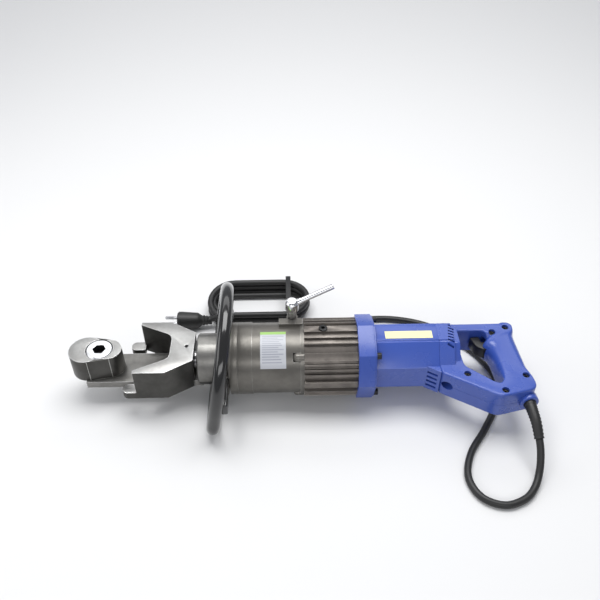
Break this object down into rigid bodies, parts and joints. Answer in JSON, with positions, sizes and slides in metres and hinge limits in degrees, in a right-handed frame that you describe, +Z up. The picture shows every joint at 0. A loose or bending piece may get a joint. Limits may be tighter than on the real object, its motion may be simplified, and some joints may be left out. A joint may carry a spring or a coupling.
{
  "type": "rebar bender",
  "caption": "Portable electro-hydraulic rebar bender: a sliding fork bends bar round an eccentric former; loop handle, pump housing, motor and D-handle with trigger.",
  "frame": {"origin": "on the floor, under the middle of the tool's length, measured without the mains lead", "axes": "+X along the tool from the bending head to the grip, +Z up, with the head's plane level"},
  "size_m": [0.549, 0.3684, 0.1436],
  "materials": {
    "forged_steel": "cast and shot-blasted grey steel with bright worn edges",
    "satin_steel": "satin machined steel",
    "bright_zinc": "bright zinc plated steel",
    "hard_chrome": "polished chrome",
    "grey_casting": "warm gunmetal paint on a casting",
    "fin_aluminium": "brown-grey anodised extrusion",
    "blue_plastic": "moulded blue housing, semi-gloss",
    "black_gloss": "gloss black enamel",
    "black_steel": "black oxide fastener",
    "black_plastic": "black moulded plastic",
    "black_rubber": "black rubber",
    "bearing_steel": "ground bearing steel",
    "bronze": "bronze",
    "copper": "copper segments",
    "laminated_steel": "laminated electrical steel",
    "cast_aluminium": "raw cast aluminium",
    "label_white": "printed label film, no lettering",
    "label_yellow": "plain yellow label film"
  },
  "bodies": {
    "frame": {"head_frame": "forged_steel", "former_screw": "bright_zinc", "return_spring": "black_steel", "rod_gland": "bronze", "wiper_seal": "black_rubber", "cylinder_barrel": "bearing_steel", "front_collar": "grey_casting", "loop_handle": "black_gloss", "loop_clamp_bolts": "black_steel", "hydraulic_body": "grey_casting", "fin_housing": "fin_aluminium", "housing_bolts": "grey_casting", "oil_plug": "black_steel", "oil_bladder": "black_rubber", "pump_block": "cast_aluminium", "pump_plunger": "bearing_steel", "front_shaft_bearing": "bearing_steel", "rear_shaft_bearing": "bearing_steel", "gear_plate": "cast_aluminium", "motor_flange": "blue_plastic", "flange_screws": "black_steel", "front_motor_bearing": "bearing_steel", "rear_motor_bearing": "bearing_steel", "stator": "laminated_steel", "motor_housing": "blue_plastic", "brushes": "black_plastic", "brush_caps": "black_plastic", "handle_upper_half": "blue_plastic", "handle_lower_half": "blue_plastic", "handle_screws": "black_steel", "switch_body": "black_plastic", "warning_label": "label_white", "rating_label": "label_yellow", "cord_boot": "black_rubber", "cord_lead": "black_rubber", "cord_hank": "black_rubber", "cord_tie": "black_plastic", "cord_plug": "black_rubber"},
    "ram": {"fork": "satin_steel", "fork_set_screw": "black_steel", "piston_rod": "hard_chrome", "piston": "satin_steel", "piston_seal": "black_rubber"},
    "former": {"former": "satin_steel"},
    "release_lever": {"release_valve": "hard_chrome", "lever_hub": "hard_chrome", "lever_rod": "hard_chrome"},
    "armature": {"motor_pinion": "satin_steel", "armature_shaft": "bearing_steel", "armature_core": "laminated_steel", "commutator": "copper", "cooling_fan": "black_plastic"},
    "pump_drive": {"eccentric_shaft": "bearing_steel", "eccentric_bearing": "bearing_steel", "drive_gear": "satin_steel"},
    "trigger": {"trigger": "black_plastic"}
  },
  "joints": [
    {"name": "ram_slide", "type": "slide", "parent": "frame", "child": "ram", "axis": [-1, 0, 0], "range_m": [0, 0.042], "stiffness_N_per_m": 600, "springref_m": -0.01, "deforming": ["return_spring"]},
    {"name": "former_turn", "type": "hinge", "parent": "frame", "child": "former", "pos_m": [-0.2365, 0, 0.05087], "axis": [0, 0, 1], "range_deg": [0, 180]},
    {"name": "lever_turn", "type": "hinge", "parent": "frame", "child": "release_lever", "pos_m": [-0.005, 0.023, 0.09687], "axis": [0, 0, 1], "range_deg": [0, 90]},
    {"name": "motor_spin", "type": "hinge", "parent": "frame", "child": "armature", "pos_m": [0.082, 0, 0.05087], "axis": [1, 0, 0], "continuous": true},
    {"name": "pump_spin", "type": "hinge", "parent": "frame", "child": "pump_drive", "pos_m": [0.082, 0, 0.02987], "axis": [1, 0, 0], "continuous": true},
    {"name": "trigger_press", "type": "slide", "parent": "frame", "child": "trigger", "axis": [1, 0, 0], "range_m": [0, 0.006], "stiffness_N_per_m": 600, "springref_m": -0.002}
  ],
  "couplings": [
    {"joint": "pump_spin", "follows": "motor_spin", "ratio": -0.4}
  ]
}
